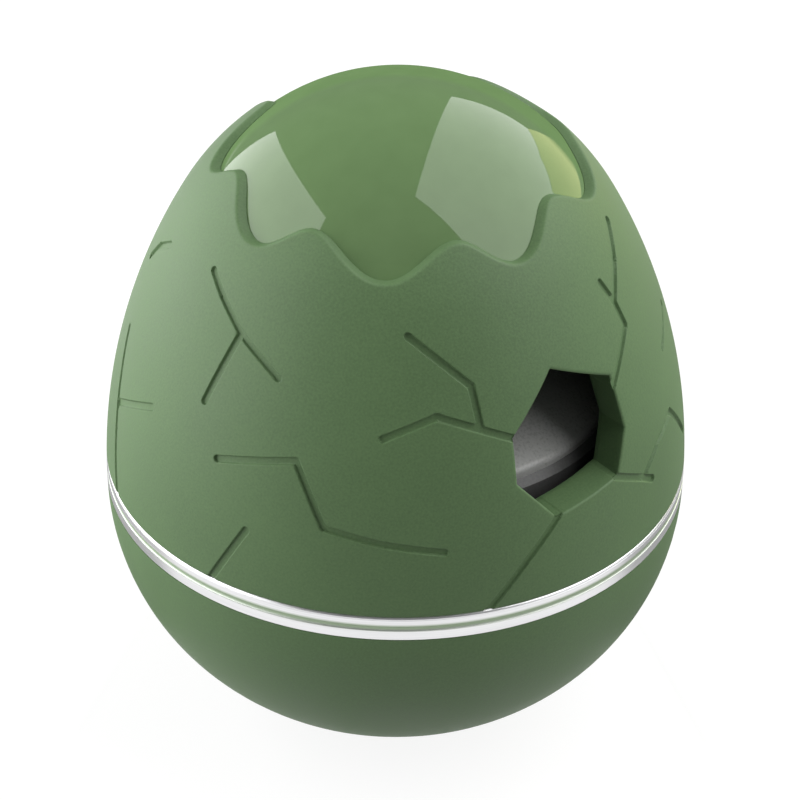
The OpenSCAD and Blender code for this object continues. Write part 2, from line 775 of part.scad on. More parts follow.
// Cast ring that keeps the egg upright, bedded on the floor over its posts
module ballast_weight() color("#707378") {
    web_z = floor_z + post_h;
    difference() {
        rotate_extrude() difference() {
            egg_band(floor_z, ballast_z, wall + 2 * fit_gap);
            square([ballast_hole_r, reach]);
        }
        ring_of(post_angles, post_pcr) {
            translate([0, 0, floor_z - over]) cylinder(r = post_r + fit_gap, h = post_h + over);
            cylinder(r = screw_r + fit_gap, h = reach);
            translate([0, 0, web_z + web_h]) cylinder(r = screw_head_r + 2 * fit_gap, h = reach);
        }
    }
}

// Screws that hold the ballast on its posts
module ballast_screws() color("#8c8c90") {
    ring_of(post_angles, post_pcr) translate([0, 0, floor_z + post_h + web_h]) screw(post_h);
}

// Chassis plate: bearing hub, motor collar, and holes for the idler's pin and the screws
module chassis_plate() color("#4a4c50") {
    bush_hole_r = shaft_r + run_gap + bush_wall + press_gap;
    hub_r = bush_hole_r + 2;
    difference() {
        union() {
            translate([0, 0, plate_z]) cylinder(r = plate_r, h = plate_h);
            translate([0, 0, plate_z]) cylinder(r = hub_r, h = plate_h + hub_h);
            translate([motor_pos.x, motor_pos.y, plate_z])
                cylinder(r = motor_collar_r, h = plate_h + motor_collar_h);
        }
        translate([0, 0, plate_z - over]) cylinder(r = bush_hole_r, h = reach);
        translate([idler_pos.x, idler_pos.y, plate_z - over])
            cylinder(r = idler_pin_r + press_gap, h = reach);
        translate([motor_pos.x, motor_pos.y, plate_z - over]) {
            cylinder(r = motor_boss_r + fit_gap, h = reach);
            translate([0, 0, over + plate_h]) motor_section(reach, fit_gap);
            motor_screw_places() {
                cylinder(r = motor_screw_r + fit_gap, h = reach);
                cylinder(r = motor_head_r + fit_gap, h = over + plate_h / 2);
            }
        }
        ring_of(boss_angles, boss_pcr) translate([0, 0, plate_z - over])
            cylinder(r = screw_r + fit_gap, h = reach);
    }
}

// Can-shaped block with two flats, h high and grown outwards by g
module motor_section(h, g = 0) {
    intersection() {
        cylinder(r = motor_d / 2 + g, h = h);
        translate([-motor_d, -motor_flat_w / 2 - g, 0]) cube([2 * motor_d, motor_flat_w + 2 * g, h]);
    }
}

// The two screw places in the motor's face
module motor_screw_places() {
    for (s = [-1, 1]) translate([s * motor_screw_off, 0, 0]) children();
}

// Screws through the chassis plate into the bosses
module plate_screws() color("#8c8c90") {
    ring_of(boss_angles, boss_pcr) translate([0, 0, plate_top]) screw(plate_h + thread_l - tip_gap);
}

// Sintered bushes in the hub, one flanged at each end
module shaft_bushes() color("#b08d57") {
    bush_r = shaft_r + run_gap + bush_wall;
    for (top = [0, 1]) translate([0, 0, top ? hub_top : plate_z]) mirror([0, 0, top]) difference() {
        union() {
            cylinder(r = bush_r, h = bush_l);
            translate([0, 0, -bush_flange_h]) cylinder(r = bush_r + bush_wall, h = bush_flange_h);
        }
        translate([0, 0, -bush_l]) cylinder(r = shaft_r + run_gap, h = 3 * bush_l);
    }
}

// Steel shaft that carries the output gear and the eccentric weight
module output_shaft() color("#a9abb0") {
    difference() {
        translate([0, 0, weight_z]) cylinder(r = shaft_r, h = hub_top + shaft_proud - weight_z);
        translate([0, 0, weight_z - over])
            cylinder(r = screw_r + press_gap, h = over + weight_thread_l + tip_gap);
    }
}

// Output gear on the shaft, with a thrust hub under the lower bush
module output_gear() color("#e6e2d6") {
    difference() {
        union() {
            translate([0, 0, output_gear_z]) rotate(90) gear(output_teeth, output_m, output_gear_h);
            translate([0, 0, output_gear_z])
                cylinder(r = gear_hub_r, h = plate_z - bush_flange_h - thrust_gap - output_gear_z);
        }
        translate([0, 0, output_gear_z - over]) cylinder(r = shaft_r + press_gap, h = reach);
    }
}

// Half-round cast weight that makes the egg wobble as it turns
module eccentric_weight() color("#7d8086") {
    difference() {
        translate([0, 0, weight_z]) union() {
            intersection() {
                cylinder(r = weight_r, h = weight_h);
                translate([-weight_r, -2 * weight_r, -over])
                    cube([2 * weight_r, 2 * weight_r, weight_h + 2 * over]);
            }
            cylinder(r = weight_hub_r, h = output_gear_z - weight_z);
        }
        translate([0, 0, weight_z - over]) cylinder(r = shaft_r + press_gap, h = reach);
    }
}

// Screw in the end of the shaft, with its head under the weight
module weight_screw() color("#8c8c90") {
    translate([0, 0, weight_z]) mirror([0, 0, 1]) screw(weight_thread_l, head_r = weight_head_r);
}

// Clip on the shaft above the upper bush
module shaft_clip() color("#6a6c70") {
    translate([0, 0, hub_top + bush_flange_h + thrust_gap])
        tube(shaft_r + clip_w, shaft_r + press_gap, clip_h);
}

// Pin pressed into the chassis plate, on which the idler turns
module idler_pin() color("#a9abb0") {
    translate([idler_pos.x, idler_pos.y, pin_bottom])
        cylinder(r = idler_pin_r, h = plate_top + pin_proud - pin_bottom);
}

// Compound idler: a large gear driven by the motor over a small one that drives the output gear
module idler_gear() color("#e6e2d6") {
    translate([idler_pos.x, idler_pos.y, 0]) difference() {
        union() {
            translate([0, 0, idler_gear_z]) rotate(motor_turn) gear(idler_teeth, motor_m, idler_gear_h);
            translate([0, 0, output_gear_z]) rotate(-90 + 180 / idler_pinion_teeth)
                gear(idler_pinion_teeth, output_m, idler_gear_z - output_gear_z + idler_gear_h / 2);
        }
        cylinder(r = idler_pin_r + run_gap, h = reach);
    }
}

// Clip that keeps the idler on its pin
module idler_clip() color("#6a6c70") {
    translate([idler_pos.x, idler_pos.y, output_gear_z - thrust_gap - clip_h])
        tube(idler_pin_r + clip_w, idler_pin_r + press_gap, clip_h);
}

// Steel can of the motor, with its shaft's bearing and two tapped holes
module motor_can() color("#b4b6ba") {
    translate([motor_pos.x, motor_pos.y, plate_top]) difference() {
        union() {
            motor_section(motor_h);
            translate([0, 0, -plate_h / 2]) cylinder(r = motor_boss_r, h = plate_h);
        }
        translate([0, 0, -plate_h]) cylinder(r = motor_shaft_r + run_gap, h = plate_h + motor_bore_l);
        motor_screw_places() translate([0, 0, -over])
            cylinder(r = motor_screw_r + press_gap, h = over + motor_screw_l + tip_gap);
    }
}

// Plastic end cap of the motor, with its two terminals
module motor_end_cap() color("#e9e9e6") {
    translate([motor_pos.x, motor_pos.y, motor_top]) difference() {
        motor_section(motor_cap_h);
        for (s = [-1, 1]) translate([s * terminal_off, 0, motor_cap_h / 2])
            cylinder(r = lead_r + press_gap, h = motor_cap_h);
    }
}

// Screws through the plate into the motor's face
module motor_screws() color("#8c8c90") {
    translate([motor_pos.x, motor_pos.y, plate_z + plate_h / 2]) motor_screw_places()
        mirror([0, 0, 1]) screw(plate_h / 2 + motor_screw_l, motor_head_r, motor_head_h, motor_screw_r);
}

// Wires from the motor's terminals up to the board
module motor_leads() color("#b03030") {
    lead_z = motor_top + motor_cap_h / 2;
    for (s = [-1, 1]) translate([motor_pos.x + s * terminal_off, motor_pos.y, lead_z])
        cylinder(r = lead_r, h = deck_z - lead_z);
}

// Motor's shaft below its can
module motor_shaft() color("#a9abb0") {
    shaft_z = idler_gear_z - shaft_tip;
    translate([motor_pos.x, motor_pos.y, shaft_z])
        cylinder(r = motor_shaft_r, h = plate_top + motor_bore_l - thrust_gap - shaft_z);
}

// Brass pinion on the motor's shaft
module motor_pinion() color("#c7a14a") {
    translate([motor_pos.x, motor_pos.y, idler_gear_z]) difference() {
        rotate(motor_turn + 180 + 180 / motor_teeth) gear(motor_teeth, motor_m, idler_gear_h);
        translate([0, 0, -over]) cylinder(r = motor_shaft_r + press_gap, h = reach);
    }
}

// Rechargeable cell lying along Y, with its raised end towards +Y
module battery_cell() color("#3f6fb0") {
    translate([-cell_off, -bay_l / 2 + contact_h, cell_z]) rotate([-90, 0, 0]) {
        cylinder(r = cell_r, h = cell_l);
        cylinder(r = cell_nub_r, h = cell_l + cell_nub_h);
    }
}

// Cradle on the chassis plate that holds the cell between two end walls
module battery_cradle() color("#2f3032") {
    length = bay_l + 2 * cradle_end;
    translate([-cell_off - cradle_w / 2, -length / 2, plate_top]) difference() {
        cube([cradle_w, length, cradle_base + cradle_end_h]);
        translate([-over, cradle_end, cradle_base + cradle_side_h]) cube([cradle_w + 2 * over, bay_l, reach]);
        translate([cradle_w / 2, cradle_end, cradle_base + cell_r]) rotate([-90, 0, 0])
            cylinder(r = cell_r + press_gap, h = bay_l);
    }
}

// Contact plates at the two ends of the cell, each with a solder tab folded over it
module battery_contacts() color("#c9b37a") {
    plate_low = cell_z - contact_w / 2;
    for (s = [0, 1]) mirror([0, s, 0]) translate([-cell_off - contact_w / 2, -bay_l / 2, 0]) {
        translate([0, 0, plate_low]) cube([contact_w, contact_h, tab_z + contact_h - plate_low]);
        translate([0, 0, tab_z]) cube([contact_w, tab_l, contact_h]);
    }
}

// Wires from the contacts up to the board
module battery_leads() color("#b03030") {
    lead_z = tab_z + contact_h;
    for (s = [-1, 1]) translate([-cell_off, s * lead_y, lead_z])
        cylinder(r = lead_r, h = deck_z - lead_z);
}

upper_shell();
crown_cap();
lower_shell();
trim_ring();
pod_housing();
dome_cover();
shell_seal();
dome_seal();
deck_screws();
power_button();
push_switch();
circuit_board();
control_chip();
charging_socket();
status_lamps();
board_screws();
port_plug();
ballast_weight();
ballast_screws();
chassis_plate();
plate_screws();
shaft_bushes();
output_shaft();
output_gear();
eccentric_weight();
weight_screw();
shaft_clip();
idler_pin();
idler_gear();
idler_clip();
motor_can();
motor_end_cap();
motor_screws();
motor_leads();
motor_shaft();
motor_pinion();
battery_cell();
battery_cradle();
battery_contacts();
battery_leads();
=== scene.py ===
import math

import bpy
import numpy as np
from mathutils import Matrix, Vector, geometry, kdtree


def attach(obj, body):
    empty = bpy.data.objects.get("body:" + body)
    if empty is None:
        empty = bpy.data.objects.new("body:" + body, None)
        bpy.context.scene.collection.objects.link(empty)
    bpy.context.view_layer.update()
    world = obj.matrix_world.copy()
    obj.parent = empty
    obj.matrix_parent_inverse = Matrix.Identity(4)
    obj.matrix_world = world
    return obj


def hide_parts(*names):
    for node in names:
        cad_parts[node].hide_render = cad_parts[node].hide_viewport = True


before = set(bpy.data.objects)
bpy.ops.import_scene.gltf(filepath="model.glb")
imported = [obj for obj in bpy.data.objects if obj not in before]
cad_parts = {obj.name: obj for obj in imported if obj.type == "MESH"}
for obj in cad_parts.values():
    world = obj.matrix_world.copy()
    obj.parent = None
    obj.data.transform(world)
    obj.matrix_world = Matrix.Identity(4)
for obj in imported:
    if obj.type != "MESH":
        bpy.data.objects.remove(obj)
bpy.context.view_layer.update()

# Lower shell: the weighted half that the egg stands and rocks on. Injection moulded in matte green
# plastic with a fine eroded grain. Screws through the pod's deck hold it to the rest.
SHELL_PALE = (0.127, 0.221, 0.093)
SHELL_DEEP = (0.100, 0.178, 0.074)
SHELL_SHEEN = 0.42
TONE_LOW, TONE_HIGH = 0.35, 0.65
MIX_SHARE, MIX_A, MIX_B, MIX_OUT = 0, 6, 7, 2


def new_effect(name, takes, gives):
    tree = bpy.data.node_groups.new(name, "ShaderNodeTree")
    for socket, value in takes.items():
        taken = tree.interface.new_socket(socket, in_out="INPUT", socket_type="NodeSocketFloat")
        taken.default_value = value
    for socket in gives:
        tree.interface.new_socket(socket, in_out="OUTPUT", socket_type="NodeSocketFloat")
    return tree, tree.nodes.new("NodeGroupInput"), tree.nodes.new("NodeGroupOutput")


def noise(tree, place, scale, detail):
    node = tree.nodes.new("ShaderNodeTexNoise")
    node.inputs["Detail"].default_value = detail
    tree.links.new(place, node.inputs["Vector"])
    tree.links.new(scale, node.inputs["Scale"])
    return node.outputs[0]


def blend(tree, a, b, share):
    node = tree.nodes.new("ShaderNodeMix")
    node.inputs[0].default_value = share
    tree.links.new(a, node.inputs[2])
    tree.links.new(b, node.inputs[3])
    return node.outputs[0]


moulded_grain, given, made = new_effect(
    "moulded_grain", {"Grain": 2600.0, "Cloud": 70.0}, ["Height", "Tone"])
place = moulded_grain.nodes.new("ShaderNodeTexCoord").outputs["Object"]
fine = noise(moulded_grain, place, given.outputs["Grain"], 2.0)
cloud = noise(moulded_grain, place, given.outputs["Cloud"], 3.0)
moulded_grain.links.new(fine, made.inputs["Height"])
moulded_grain.links.new(blend(moulded_grain, fine, cloud, 0.35), made.inputs["Tone"])


def graded(tree, value, start, end, first, last):
    node = tree.nodes.new("ShaderNodeMapRange")
    node.inputs["From Min"].default_value = start
    node.inputs["From Max"].default_value = end
    node.inputs["To Min"].default_value = first
    node.inputs["To Max"].default_value = last
    tree.links.new(value, node.inputs["Value"])
    return node.outputs[0]


def shader_of(finish):
    return finish.node_tree.nodes["Principled BSDF"]


def new_finish(name, effect, values, pale, deep, shine, bump):
    finish = bpy.data.materials.new(name)
    finish.use_nodes = True
    tree = finish.node_tree
    skin_shader = shader_of(finish)
    detail = tree.nodes.new("ShaderNodeGroup")
    detail.node_tree = effect
    for socket, value in values.items():
        detail.inputs[socket].default_value = value
    colour = tree.nodes.new("ShaderNodeMix")
    colour.data_type = "RGBA"
    colour.inputs[MIX_A].default_value = (*deep, 1)
    colour.inputs[MIX_B].default_value = (*pale, 1)
    tone = graded(tree, detail.outputs["Tone"], TONE_LOW, TONE_HIGH, 0.0, 1.0)
    tree.links.new(tone, colour.inputs[MIX_SHARE])
    tree.links.new(colour.outputs[MIX_OUT], skin_shader.inputs["Base Color"])
    rough = graded(tree, detail.outputs["Tone"], TONE_LOW, TONE_HIGH, *shine)
    tree.links.new(rough, skin_shader.inputs["Roughness"])
    relief = tree.nodes.new("ShaderNodeBump")
    relief.inputs["Strength"].default_value = bump[0]
    relief.inputs["Distance"].default_value = bump[1]
    tree.links.new(detail.outputs["Height"], relief.inputs["Height"])
    tree.links.new(relief.outputs[0], skin_shader.inputs["Normal"])
    return finish


def dress(finish, *nodes):
    for node in nodes:
        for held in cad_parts[node].material_slots:
            held.material = finish


matte_green = new_finish("matte green", moulded_grain, {"Grain": 3000.0, "Cloud": 80.0},
                         SHELL_PALE, SHELL_DEEP, (0.50, 0.62), (0.35, 0.00006))
shader_of(matte_green).inputs["Specular IOR Level"].default_value = SHELL_SHEEN
dress(matte_green, "lower_shell")

# Ballast: a cast zinc ring on three posts in the floor, held by three plated screws.
# It keeps the egg upright, so it is plain, with a sandy cast skin.
cast_metal = new_finish("cast metal", moulded_grain, {"Grain": 900.0, "Cloud": 120.0},
                        (0.42, 0.42, 0.43), (0.30, 0.30, 0.31), (0.45, 0.6), (0.4, 0.00012))
shader_of(cast_metal).inputs["Metallic"].default_value = 1.0

tool_marks, given, made = new_effect(
    "tool_marks", {"Round": 60.0, "Up": 5000.0}, ["Height", "Tone"])
place = tool_marks.nodes.new("ShaderNodeTexCoord").outputs["Object"]
stretch = tool_marks.nodes.new("ShaderNodeCombineXYZ")
tool_marks.links.new(given.outputs["Round"], stretch.inputs["X"])
tool_marks.links.new(given.outputs["Round"], stretch.inputs["Y"])
tool_marks.links.new(given.outputs["Up"], stretch.inputs["Z"])
spread = tool_marks.nodes.new("ShaderNodeVectorMath")
spread.operation = "MULTIPLY"
tool_marks.links.new(place, spread.inputs[0])
tool_marks.links.new(stretch.outputs[0], spread.inputs[1])
lines = tool_marks.nodes.new("ShaderNodeTexNoise")
lines.inputs["Scale"].default_value = 1.0
lines.inputs["Detail"].default_value = 3.0
tool_marks.links.new(spread.outputs[0], lines.inputs["Vector"])
tool_marks.links.new(lines.outputs[0], made.inputs["Height"])
tool_marks.links.new(lines.outputs[0], made.inputs["Tone"])


def metal(name, pale, deep, shine, values, bump=(0.15, 0.00002)):
    finish = new_finish(name, tool_marks, values, pale, deep, shine, bump)
    shader_of(finish).inputs["Metallic"].default_value = 1.0
    return finish


screw_steel = metal("screw steel", (0.62, 0.61, 0.58), (0.45, 0.44, 0.42), (0.25, 0.4),
                    {"Round": 1800.0, "Up": 2600.0})
dress(cast_metal, "ballast_weight")
dress(screw_steel, "ballast_screws")

# Drive: a grey chassis plate on three bosses carries bronze bushes, the output shaft and the idler.
# The gears are white acetal, and the weight that swings round is cast metal on the shaft's foot.
chassis_grey = new_finish("chassis grey", moulded_grain, {"Grain": 1800.0, "Cloud": 90.0},
                          (0.24, 0.24, 0.25), (0.18, 0.18, 0.19), (0.45, 0.6), (0.25, 0.00005))
gear_white = new_finish("gear white", moulded_grain, {"Grain": 1500.0, "Cloud": 150.0},
                        (0.78, 0.77, 0.72), (0.68, 0.67, 0.62), (0.3, 0.45), (0.15, 0.00004))
shaft_steel = metal("shaft steel", (0.66, 0.66, 0.67), (0.52, 0.52, 0.53), (0.16, 0.28),
                    {"Round": 80.0, "Up": 6000.0})
bronze = metal("bronze", (0.55, 0.36, 0.17), (0.42, 0.26, 0.11), (0.3, 0.45),
               {"Round": 400.0, "Up": 5000.0})
dress(chassis_grey, "chassis_plate")
dress(screw_steel, "plate_screws", "weight_screw")
dress(bronze, "shaft_bushes")
dress(shaft_steel, "output_shaft", "idler_pin", "shaft_clip", "idler_clip")
dress(gear_white, "output_gear", "idler_gear")
dress(cast_metal, "eccentric_weight")

# Motor: a small flat-sided can, drawn from plated steel, with a black end cap. A brass pinion is
# pressed on its shaft, two screws hold it to the plate, and red leads go up to the board.
can_steel = metal("can steel", (0.60, 0.60, 0.60), (0.50, 0.50, 0.50), (0.22, 0.34),
                  {"Round": 2600.0, "Up": 90.0})
brass = metal("brass", (0.72, 0.53, 0.22), (0.58, 0.41, 0.15), (0.22, 0.36),
              {"Round": 300.0, "Up": 4000.0})
black_plastic = new_finish("black plastic", moulded_grain, {"Grain": 2200.0, "Cloud": 100.0},
                           (0.028, 0.028, 0.029), (0.018, 0.018, 0.019), (0.4, 0.55), (0.25, 0.00004))
lead_red = new_finish("lead red", moulded_grain, {"Grain": 3000.0, "Cloud": 200.0},
                      (0.40, 0.03, 0.025), (0.30, 0.02, 0.018), (0.4, 0.5), (0.15, 0.00003))
dress(can_steel, "motor_can")
dress(black_plastic, "motor_end_cap")
dress(shaft_steel, "motor_shaft")
dress(brass, "motor_pinion")
dress(screw_steel, "motor_screws")
dress(lead_red, "motor_leads")

# Cell: a rechargeable cell in a blue shrink sleeve, held by the ends of a grey cradle on the plate.
# Nickel contacts press on both ends, and soldered leads go up to the board.
cell_blue = new_finish("cell blue", moulded_grain, {"Grain": 1200.0, "Cloud": 160.0},
                       (0.035, 0.13, 0.36), (0.025, 0.10, 0.29), (0.22, 0.34), (0.15, 0.00006))
contact_nickel = metal("contact nickel", (0.66, 0.63, 0.56), (0.54, 0.51, 0.45), (0.2, 0.35),
                       {"Round": 3500.0, "Up": 120.0})
dress(cell_blue, "battery_cell")
dress(chassis_grey, "battery_cradle")
dress(contact_nickel, "battery_contacts")
dress(lead_red, "battery_leads")

# Pod: a dark grey housing whose spigot joins both shells. Rubber rings in its grooves grip the upper
# shell and keep the dome tight, and four screws go through its deck into the lower shell's columns.
dark_plastic = new_finish("dark plastic", moulded_grain, {"Grain": 2400.0, "Cloud": 90.0},
                          (0.13, 0.13, 0.128), (0.10, 0.10, 0.098), (0.38, 0.5), (0.25, 0.00004))
black_rubber = new_finish("black rubber", moulded_grain, {"Grain": 2600.0, "Cloud": 300.0},
                          (0.030, 0.030, 0.030), (0.020, 0.020, 0.020), (0.65, 0.8), (0.3, 0.00004))
dress(dark_plastic, "pod_housing")
dress(black_rubber, "shell_seal", "dome_seal")
dress(screw_steel, "deck_screws")

# Circuit board: a round green board on the pod's lip, with a push switch in the middle, a chip,
# two status lamps and the charging socket at the back. Three screws hold it down.
board_green = new_finish("board green", moulded_grain, {"Grain": 1400.0, "Cloud": 260.0},
                         (0.030, 0.16, 0.075), (0.020, 0.11, 0.050), (0.3, 0.42), (0.25, 0.00004))
TRACK_SCALE, TRACK_WIDTH, TRACK_GREEN = 300.0, 0.05, (0.075, 0.27, 0.12, 1)
tree = board_green.node_tree
tracks = tree.nodes.new("ShaderNodeTexVoronoi")
tracks.feature = "DISTANCE_TO_EDGE"
tracks.inputs["Scale"].default_value = TRACK_SCALE
tree.links.new(tree.nodes.new("ShaderNodeTexCoord").outputs["Object"], tracks.inputs["Vector"])
traced = tree.nodes.new("ShaderNodeMath")
traced.operation = "LESS_THAN"
traced.inputs[1].default_value = TRACK_WIDTH
tree.links.new(tracks.outputs["Distance"], traced.inputs[0])
copper = tree.nodes.new("ShaderNodeMix")
copper.data_type = "RGBA"
copper.inputs[MIX_B].default_value = TRACK_GREEN
board_shader = shader_of(board_green)
tree.links.new(board_shader.inputs["Base Color"].links[0].from_socket, copper.inputs[MIX_A])
tree.links.new(traced.outputs[0], copper.inputs[MIX_SHARE])
tree.links.new(copper.outputs[MIX_OUT], board_shader.inputs["Base Color"])
lamp_white = new_finish("lamp white", moulded_grain, {"Grain": 1500.0, "Cloud": 300.0},
                        (0.80, 0.80, 0.76), (0.70, 0.70, 0.66), (0.2, 0.3), (0.1, 0.00003))
socket_steel = metal("socket steel", (0.64, 0.64, 0.63), (0.52, 0.52, 0.51), (0.2, 0.32),
                     {"Round": 2400.0, "Up": 200.0})
dress(board_green, "circuit_board")
dress(black_plastic, "control_chip", "push_switch")
dress(lamp_white, "status_lamps")
dress(socket_steel, "charging_socket")
dress(screw_steel, "board_screws")

# Dome and button: the shallow dome that treats roll off, in grey plastic with a satin face, a push
# button in its middle, and a grey rubber plug in the charging mouth of the pod's back.
dome_plastic = new_finish("dome plastic", moulded_grain, {"Grain": 2600.0, "Cloud": 90.0},
                          (0.47, 0.47, 0.46), (0.40, 0.40, 0.39), (0.26, 0.36), (0.25, 0.00004))
button_plastic = new_finish("button plastic", moulded_grain, {"Grain": 2200.0, "Cloud": 120.0},
                            (0.34, 0.34, 0.33), (0.27, 0.27, 0.26), (0.3, 0.42), (0.2, 0.00004))
grey_rubber = new_finish("grey rubber", moulded_grain, {"Grain": 2600.0, "Cloud": 200.0},
                         (0.085, 0.085, 0.085), (0.062, 0.062, 0.062), (0.6, 0.75), (0.3, 0.00004))
dress(dome_plastic, "dome_cover")
dress(button_plastic, "power_button")
dress(grey_rubber, "port_plug")

# Trim ring: a thin bright ring in the seam, plated plastic with a satin turned face, a groove round
# its middle and softly rounded edges. It is trapped between the two shells.
bright_trim = metal("bright trim", (0.84, 0.84, 0.85), (0.76, 0.76, 0.77), (0.28, 0.36),
                    {"Round": 60.0, "Up": 6000.0}, (0.1, 0.00001))
# The groove's grey-green band is painted shade and a painted reflection of the green shell above. Only its
# higher roughness is the ring's own finish.
GROOVE_Z, GROOVE_SHADE_CORE, GROOVE_END = 0.04045, 0.00025, 0.00065
GROOVE_PAINTED_SHADE, GROOVE_BLUR = (0.36, 0.44, 0.32, 1), 0.3
tree = bright_trim.node_tree
plating = shader_of(bright_trim)
height = tree.nodes.new("ShaderNodeSeparateXYZ")
tree.links.new(tree.nodes.new("ShaderNodeTexCoord").outputs["Object"], height.inputs[0])
above = tree.nodes.new("ShaderNodeMath")
above.operation = "SUBTRACT"
above.inputs[1].default_value = GROOVE_Z
tree.links.new(height.outputs["Z"], above.inputs[0])
away = tree.nodes.new("ShaderNodeMath")
away.operation = "ABSOLUTE"
tree.links.new(above.outputs[0], away.inputs[0])
groove_shade_and_blur = graded(tree, away.outputs[0], GROOVE_SHADE_CORE, GROOVE_END, 1.0, 0.0)
# Painted shade and painted reflection: the base colour turns grey-green in the groove.
groove_painted_shade = tree.nodes.new("ShaderNodeMix")
groove_painted_shade.data_type = "RGBA"
groove_painted_shade.inputs[MIX_B].default_value = GROOVE_PAINTED_SHADE
tree.links.new(groove_shade_and_blur, groove_painted_shade.inputs[MIX_SHARE])
tree.links.new(plating.inputs["Base Color"].links[0].from_socket, groove_painted_shade.inputs[MIX_A])
tree.links.new(groove_painted_shade.outputs[MIX_OUT], plating.inputs["Base Color"])
blurred = tree.nodes.new("ShaderNodeMath")
blurred.operation = "MULTIPLY_ADD"
blurred.inputs[1].default_value = GROOVE_BLUR
tree.links.new(groove_shade_and_blur, blurred.inputs[0])
tree.links.new(plating.inputs["Roughness"].links[0].from_socket, blurred.inputs[2])
tree.links.new(blurred.outputs[0], plating.inputs["Roughness"])
dress(bright_trim, "trim_ring")

# Upper shell: the matte green half that holds the treats. Moulded in one piece with crack grooves,
# a seven-sided treat hole with deep walls, and a wavy soft lip round the crown. Sizes are in mm.
EGG_R, SIDE_R, TOP_R, EQ_Z = 43.0, 87.0, 36.0, 37.765
TOP_C = math.sqrt((SIDE_R - TOP_R) ** 2 - (SIDE_R - EGG_R) ** 2)
SIDE_TILT = math.atan2(TOP_C, SIDE_R - EGG_R)
SIDE_LEN = SIDE_R * SIDE_TILT
MOUTH_RISE, BORE_R, BORE_TOP, SHELL_WALL = 4.4, 40.17, 9.65, 2.5
THIN_RISE, THIN_WALL, THIN_TOP = 41.0, 1.2, 46.5
HOLE_R, HOLE_RISE, HOLE_DEPTH, HOLE_WALL = 10.0, 25.2, 5.0, 2.2
HOLE_CORNERS = [
    (101, 1.06), (37.5, 1), (-10, 0.94), (-47.5, 1), (-117, 1.02), (-163.5, 1.03), (161, 1),
]
CROWN_EDGE = [
    (-149, 55.9), (-121.5, 50.7), (-107, 53.1), (-81.8, 48.7), (-65.5, 51.9), (-42, 47.8),
    (-20.5, 51.6), (-3.5, 48.3), (19, 52.6), (38.5, 49.5), (66, 52), (84, 51.6),
    (112, 54.6), (138, 50.6), (165, 53.6), (188, 48.2), (211, 55.9),
]
CRACKS = [
    [(-90, 43.9), (-83.8, 41.9), (-75.3, 38.9), (-77.9, 33.9), (-80.2, 29)],
    [(-75.3, 38.9), (-69.1, 37.1), (-63.8, 35.3)],
    [(-113.3, 41.4), (-119.8, 39.2), (-123.1, 36.6)],
    [(-116.7, 27.5), (-112.8, 21.1), (-109.8, 14.4), (-107, 6.9), (-105.3, 2)],
    [(-111.3, 17.7), (-95.2, 23.4)],
    [(-74.4, 22.5), (-57.4, 25.6), (-51.1, 17.2), (-40.1, 15.6), (-28.7, 14.3)],
    [(-66.3, 14.1), (-75.4, 2)],
    [(-35.6, 42.1), (-22.1, 35.8), (-20.8, 30.4)],
    [(-40.6, 29.8), (-29.7, 32.5), (-11.9, 27.7)],
    [(-5.5, 16.6), (-13.3, 10.8), (-23.3, 2)],
    [(8.9, 17.7), (17.1, 14.6), (20.6, 13.1)],
    [(17.1, 14.6), (24.1, 17.5), (32.3, 19), (42.1, 11.3)],
    [(36, 46.4), (28.9, 42.8), (21.4, 38.8), (22.4, 35.5), (12.4, 29.7)],
    [(19, 42), (21.4, 38.8)],
    [(47.1, 30.3), (36.2, 27.5)],
    [(70, 40), (82, 34), (78, 26)],
    [(82, 34), (92, 30.5)],
    [(58, 20), (70, 16.5), (76, 9), (84, 2)],
    [(99, 22), (112, 26), (119, 18), (134, 16)],
    [(118, 42), (129, 36), (125, 30)],
    [(147, 35), (160, 28), (157, 20), (169, 14)],
    [(160, 28), (172, 31)],
    [(146, 11), (139, 2)],
    [(-171, 41), (-159, 36), (-163, 28.5)],
    [(-156, 23), (-145, 17), (-136, 19)],
    [(-174, 13), (-168, 2)],
]
GROOVE = ((0, 0.45, 0.49, 0.54, 0.59), (0.43, 0.43, 0.39, 0.05, 0))
LIP = ((0, 0.1, 0.65, 0.8, 0.95, 1.15), (0.95, 0.84, 0.20, 0.08, 0.02, 0))
LIP_OVER = 0.55
HOLE_EDGE = ((0, 0.06, 0.15, 0.3), (0.22, 0.13, 0.05, 0))
MOUTH_EDGE = ((0, 0.08, 0.2, 0.35), (0.2, 0.1, 0.03, 0))
CRACK_ROWS = (0, 0.3, 0.45, 0.49, 0.54, 0.59, 0.66, 0.82, 1.05)
LIP_ROWS = (0.1, 0.38, 0.65, 0.8, 0.95, 1.15, 1.35)
HOLE_ROWS, HOLE_SPREAD = (0.05, 0.12, 0.22, 0.4), 1.15
MOUTH_ROWS = (0.08, 0.2, 0.4)
TUNNEL_ROWS = (0.3, 1.0, 2.0, 3.0, 4.0, 4.8)
SKIN_STEP, SKIN_TOP, CRACK_CLEAR, LIP_CLEAR, HOLE_CLEAR = 1.3, 62.0, 1.5, 1.9, 1.1
FLAT_R, SAME_POINT, ON_LINE = 35.0, 0.045, 0.02
CROWN_R, CROWN_C, CROWN_SEAT = 32.4, 29.3, 1.35
INNER_SEGMENTS, INNER_ROWS, THIN_ROWS, INNER_LAG = 400, 36, 6, 0.6
MM, WELD_GAP, SHARP_TURN = 0.001, 0.000002, math.radians(48)


def along_at(rise):
    rise = np.asarray(rise, float)
    side = SIDE_R * np.arcsin(np.clip(rise / SIDE_R, -1, 1))
    top = SIDE_LEN + TOP_R * (np.arcsin(np.clip((rise - TOP_C) / TOP_R, -1, 1)) - SIDE_TILT)
    return np.where(rise <= SIDE_R * math.sin(SIDE_TILT), side, top)


